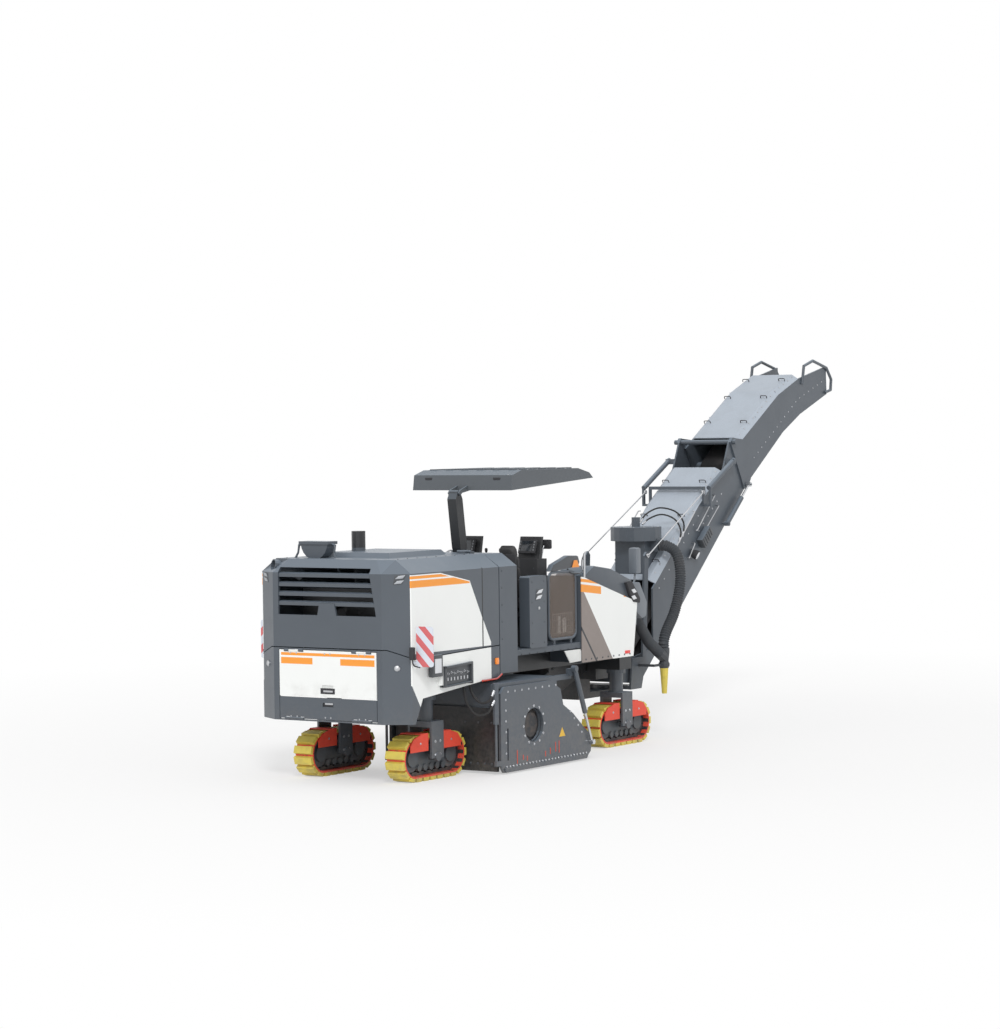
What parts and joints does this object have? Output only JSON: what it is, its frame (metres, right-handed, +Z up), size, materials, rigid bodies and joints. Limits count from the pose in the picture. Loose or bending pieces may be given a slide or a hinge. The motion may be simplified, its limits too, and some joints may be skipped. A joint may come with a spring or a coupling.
{
  "type": "cold planer milling machine",
  "caption": "Tracked cold planer with a milling drum under the machine, an open operator stand under a canopy and a folding, slewing loading conveyor at the front.",
  "frame": {"origin": "on the ground under the middle of the machine's overall length and width", "axes": "+X forward, to the conveyor's tip; +Y to the machine's left; +Z up"},
  "size_m": [12.0634, 2.79, 5.1515],
  "materials": {
    "bare_steel": "hard-chromed rod",
    "black_plastic": "matt black plastic",
    "black_rubber": "black conveyor rubber",
    "black_steel": "satin black paint",
    "chair_cover": "black vinyl cover",
    "clear_pane": "clear tinted pane",
    "dark_grey_paint": "satin dark grey paint",
    "light_grey_sheet": "blue-grey painted sheet",
    "pad_yellow": "yellow moulded polyurethane",
    "track_red": "gloss red paint",
    "warning_board": "red and white reflective board",
    "white_paint": "gloss white paint"
  },
  "bodies": {
    "chassis": {"chair_base": "black_plastic", "chair_cushions": "chair_cover", "chassis_frame": "black_steel", "control_desk": "black_plastic", "cooling_pack": "black_steel", "dust_hose_short": "black_plastic", "engine_block": "black_steel", "lower_hull": "dark_grey_paint", "milling_housing": "dark_grey_paint", "operator_cabinet": "dark_grey_paint", "operator_platform": "dark_grey_paint", "pickup_belt": "black_rubber", "pickup_conveyor": "black_steel", "side_console": "dark_grey_paint", "side_guard": "dark_grey_paint", "side_pane": "clear_pane", "warning_board_left": "warning_board", "warning_board_right": "warning_board", "water_tank": "white_paint"},
    "track_front_right": {"track_belt_front_right": "pad_yellow", "track_frame_front_right": "track_red", "track_yoke_front_right": "dark_grey_paint"},
    "track_front_left": {"track_belt_front_left": "pad_yellow", "track_frame_front_left": "track_red", "track_yoke_front_left": "dark_grey_paint"},
    "track_rear_right": {"track_belt_rear_right": "pad_yellow", "track_frame_rear_right": "track_red", "track_yoke_rear_right": "dark_grey_paint"},
    "track_rear_left": {"track_belt_rear_left": "pad_yellow", "track_frame_rear_left": "track_red", "track_yoke_rear_left": "dark_grey_paint"},
    "rear_door": {"rear_door": "white_paint"},
    "rear_flap": {"rear_flap": "dark_grey_paint"},
    "engine_hood": {"engine_hood": "dark_grey_paint"},
    "milling_drum": {"milling_drum": "black_steel"},
    "side_plate_right": {"side_plate_right": "dark_grey_paint"},
    "side_plate_left": {"side_plate_left": "dark_grey_paint"},
    "plate_barrel_right": {"plate_barrel_right": "dark_grey_paint"},
    "plate_rod_right": {"plate_rod_right": "bare_steel"},
    "plate_barrel_left": {"plate_barrel_left": "dark_grey_paint"},
    "plate_rod_left": {"plate_rod_left": "bare_steel"},
    "scraper": {"scraper_blade": "black_steel"},
    "canopy_post": {"canopy_post": "dark_grey_paint"},
    "canopy_roof": {"canopy_roof": "dark_grey_paint"},
    "slew_bracket": {"dust_hose_long": "black_plastic", "dust_outlet": "pad_yellow", "slew_bracket": "dark_grey_paint"},
    "conveyor_lower": {"conveyor_lower_belt": "black_rubber", "conveyor_lower_cover": "light_grey_sheet", "conveyor_lower_frame": "dark_grey_paint", "dust_fan": "dark_grey_paint"},
    "conveyor_upper": {"conveyor_upper_belt": "black_rubber", "conveyor_upper_cover": "light_grey_sheet", "conveyor_upper_frame": "dark_grey_paint"},
    "stay_right": {"stay_right": "bare_steel"},
    "stay_left": {"stay_left": "bare_steel"},
    "fold_barrel_right": {"fold_barrel_right": "dark_grey_paint"},
    "fold_rod_right": {"fold_rod_right": "bare_steel"},
    "fold_barrel_left": {"fold_barrel_left": "dark_grey_paint"},
    "fold_rod_left": {"fold_rod_left": "bare_steel"}
  },
  "joints": [
    {"name": "steer_front_right", "type": "hinge", "parent": "chassis", "child": "track_front_right", "pos_m": [-0.65, -0.68, 1], "axis": [0, 0, 1], "range_deg": [-30, 30]},
    {"name": "steer_front_left", "type": "hinge", "parent": "chassis", "child": "track_front_left", "pos_m": [-0.65, 0.68, 1], "axis": [0, 0, 1], "range_deg": [-30, 30]},
    {"name": "steer_rear_right", "type": "hinge", "parent": "chassis", "child": "track_rear_right", "pos_m": [-5, -0.68, 1], "axis": [0, 0, 1], "range_deg": [-25, 25]},
    {"name": "steer_rear_left", "type": "hinge", "parent": "chassis", "child": "track_rear_left", "pos_m": [-5, 0.68, 1], "axis": [0, 0, 1], "range_deg": [-25, 25]},
    {"name": "rear_door_hinge", "type": "hinge", "parent": "chassis", "child": "rear_door", "pos_m": [-6.03, 0, 1.575], "axis": [0, 1, 0], "range_deg": [0, 90]},
    {"name": "rear_flap_hinge", "type": "hinge", "parent": "chassis", "child": "rear_flap", "pos_m": [-6.03, 0, 0.77], "axis": [0, 1, 0], "range_deg": [-90, 0]},
    {"name": "engine_hood_hinge", "type": "hinge", "parent": "chassis", "child": "engine_hood", "pos_m": [-4.02, 0, 2.68], "axis": [0, 1, 0], "range_deg": [0, 50]},
    {"name": "drum_spin", "type": "hinge", "parent": "chassis", "child": "milling_drum", "pos_m": [-3.55, -0.45, 0.545], "axis": [0, 1, 0], "continuous": true},
    {"name": "side_plate_right_lift", "type": "slide", "parent": "chassis", "child": "side_plate_right", "axis": [0, 0, 1], "range_m": [0, 0.25]},
    {"name": "plate_barrel_right_swing", "type": "hinge", "parent": "chassis", "child": "plate_barrel_right", "pos_m": [-2.66, -1.3133, 1.17], "axis": [0, 1, 0], "range_deg": [-7, 0]},
    {"name": "plate_rod_right_stroke", "type": "slide", "parent": "plate_barrel_right", "child": "plate_rod_right", "axis": [0.3798, 0, -0.9251], "range_m": [-0.23, 0]},
    {"name": "side_plate_left_lift", "type": "slide", "parent": "chassis", "child": "side_plate_left", "axis": [0, 0, 1], "range_m": [0, 0.25]},
    {"name": "plate_barrel_left_swing", "type": "hinge", "parent": "chassis", "child": "plate_barrel_left", "pos_m": [-2.66, 0.4133, 1.17], "axis": [0, 1, 0], "range_deg": [-7, 0]},
    {"name": "plate_rod_left_stroke", "type": "slide", "parent": "plate_barrel_left", "child": "plate_rod_left", "axis": [0.3798, 0, -0.9251], "range_m": [-0.23, 0]},
    {"name": "scraper_lift", "type": "slide", "parent": "chassis", "child": "scraper", "axis": [0, 0, 1], "range_m": [0, 0.3]},
    {"name": "canopy_post_swing", "type": "hinge", "parent": "chassis", "child": "canopy_post", "pos_m": [-3.25, 0, 2.64], "axis": [0, 1, 0], "range_deg": [-60, 0]},
    {"name": "canopy_roof_level", "type": "hinge", "parent": "canopy_post", "child": "canopy_roof", "pos_m": [-3.34, 0, 3.38], "axis": [0, 1, 0], "range_deg": [0, 60]},
    {"name": "conveyor_slew", "type": "hinge", "parent": "chassis", "child": "slew_bracket", "pos_m": [0.18, 0, 0.66], "axis": [0, 0, 1], "range_deg": [-60, 60], "deforming": ["dust_hose_short"]},
    {"name": "conveyor_lift", "type": "hinge", "parent": "slew_bracket", "child": "conveyor_lower", "pos_m": [0.18, 0, 0.92], "axis": [0, 1, 0], "range_deg": [-5, 15], "deforming": ["dust_hose_long"]},
    {"name": "conveyor_fold", "type": "hinge", "parent": "conveyor_lower", "child": "conveyor_upper", "pos_m": [2.96, 0, 3.95], "axis": [0, 1, 0], "range_deg": [-150, 0]},
    {"name": "stay_right_swing", "type": "hinge", "parent": "slew_bracket", "child": "stay_right", "pos_m": [0.5, -0.5, 2.44], "axis": [0, 1, 0], "range_deg": [-6.3, 18.7]},
    {"name": "stay_left_swing", "type": "hinge", "parent": "slew_bracket", "child": "stay_left", "pos_m": [0.5, 0.5, 2.44], "axis": [0, 1, 0], "range_deg": [-6.3, 18.7]},
    {"name": "fold_barrel_right_swing", "type": "hinge", "parent": "conveyor_lower", "child": "fold_barrel_right", "pos_m": [2.7, -0.487, 2.8], "axis": [0, 1, 0], "range_deg": [-30, 0]},
    {"name": "fold_rod_right_stroke", "type": "slide", "parent": "fold_barrel_right", "child": "fold_rod_right", "axis": [0.7643, 0, 0.6449], "range_m": [0, 0.3]},
    {"name": "fold_barrel_left_swing", "type": "hinge", "parent": "conveyor_lower", "child": "fold_barrel_left", "pos_m": [2.7, 0.487, 2.8], "axis": [0, 1, 0], "range_deg": [-30, 0]},
    {"name": "fold_rod_left_stroke", "type": "slide", "parent": "fold_barrel_left", "child": "fold_rod_left", "axis": [0.7643, 0, 0.6449], "range_m": [0, 0.3]}
  ],
  "couplings": [
    {"joint": "steer_front_left", "follows": "steer_front_right", "ratio": 1},
    {"joint": "steer_rear_left", "follows": "steer_rear_right", "ratio": 1},
    {"joint": "canopy_roof_level", "follows": "canopy_post_swing", "ratio": -1},
    {"joint": "plate_barrel_right_swing", "follows": "side_plate_right_lift", "rad_per_m": -0.475},
    {"joint": "plate_rod_right_stroke", "follows": "side_plate_right_lift", "ratio": -0.904},
    {"joint": "stay_right_swing", "follows": "conveyor_lift", "ratio": 1.245},
    {"joint": "fold_barrel_right_swing", "follows": "conveyor_fold", "ratio": 0.2},
    {"joint": "fold_rod_right_stroke", "follows": "conveyor_fold", "m_per_rad": -0.1146},
    {"joint": "plate_barrel_left_swing", "follows": "side_plate_left_lift", "rad_per_m": -0.475},
    {"joint": "plate_rod_left_stroke", "follows": "side_plate_left_lift", "ratio": -0.904},
    {"joint": "stay_left_swing", "follows": "conveyor_lift", "ratio": 1.245},
    {"joint": "fold_barrel_left_swing", "follows": "conveyor_fold", "ratio": 0.2},
    {"joint": "fold_rod_left_stroke", "follows": "conveyor_fold", "m_per_rad": -0.1146}
  ]
}
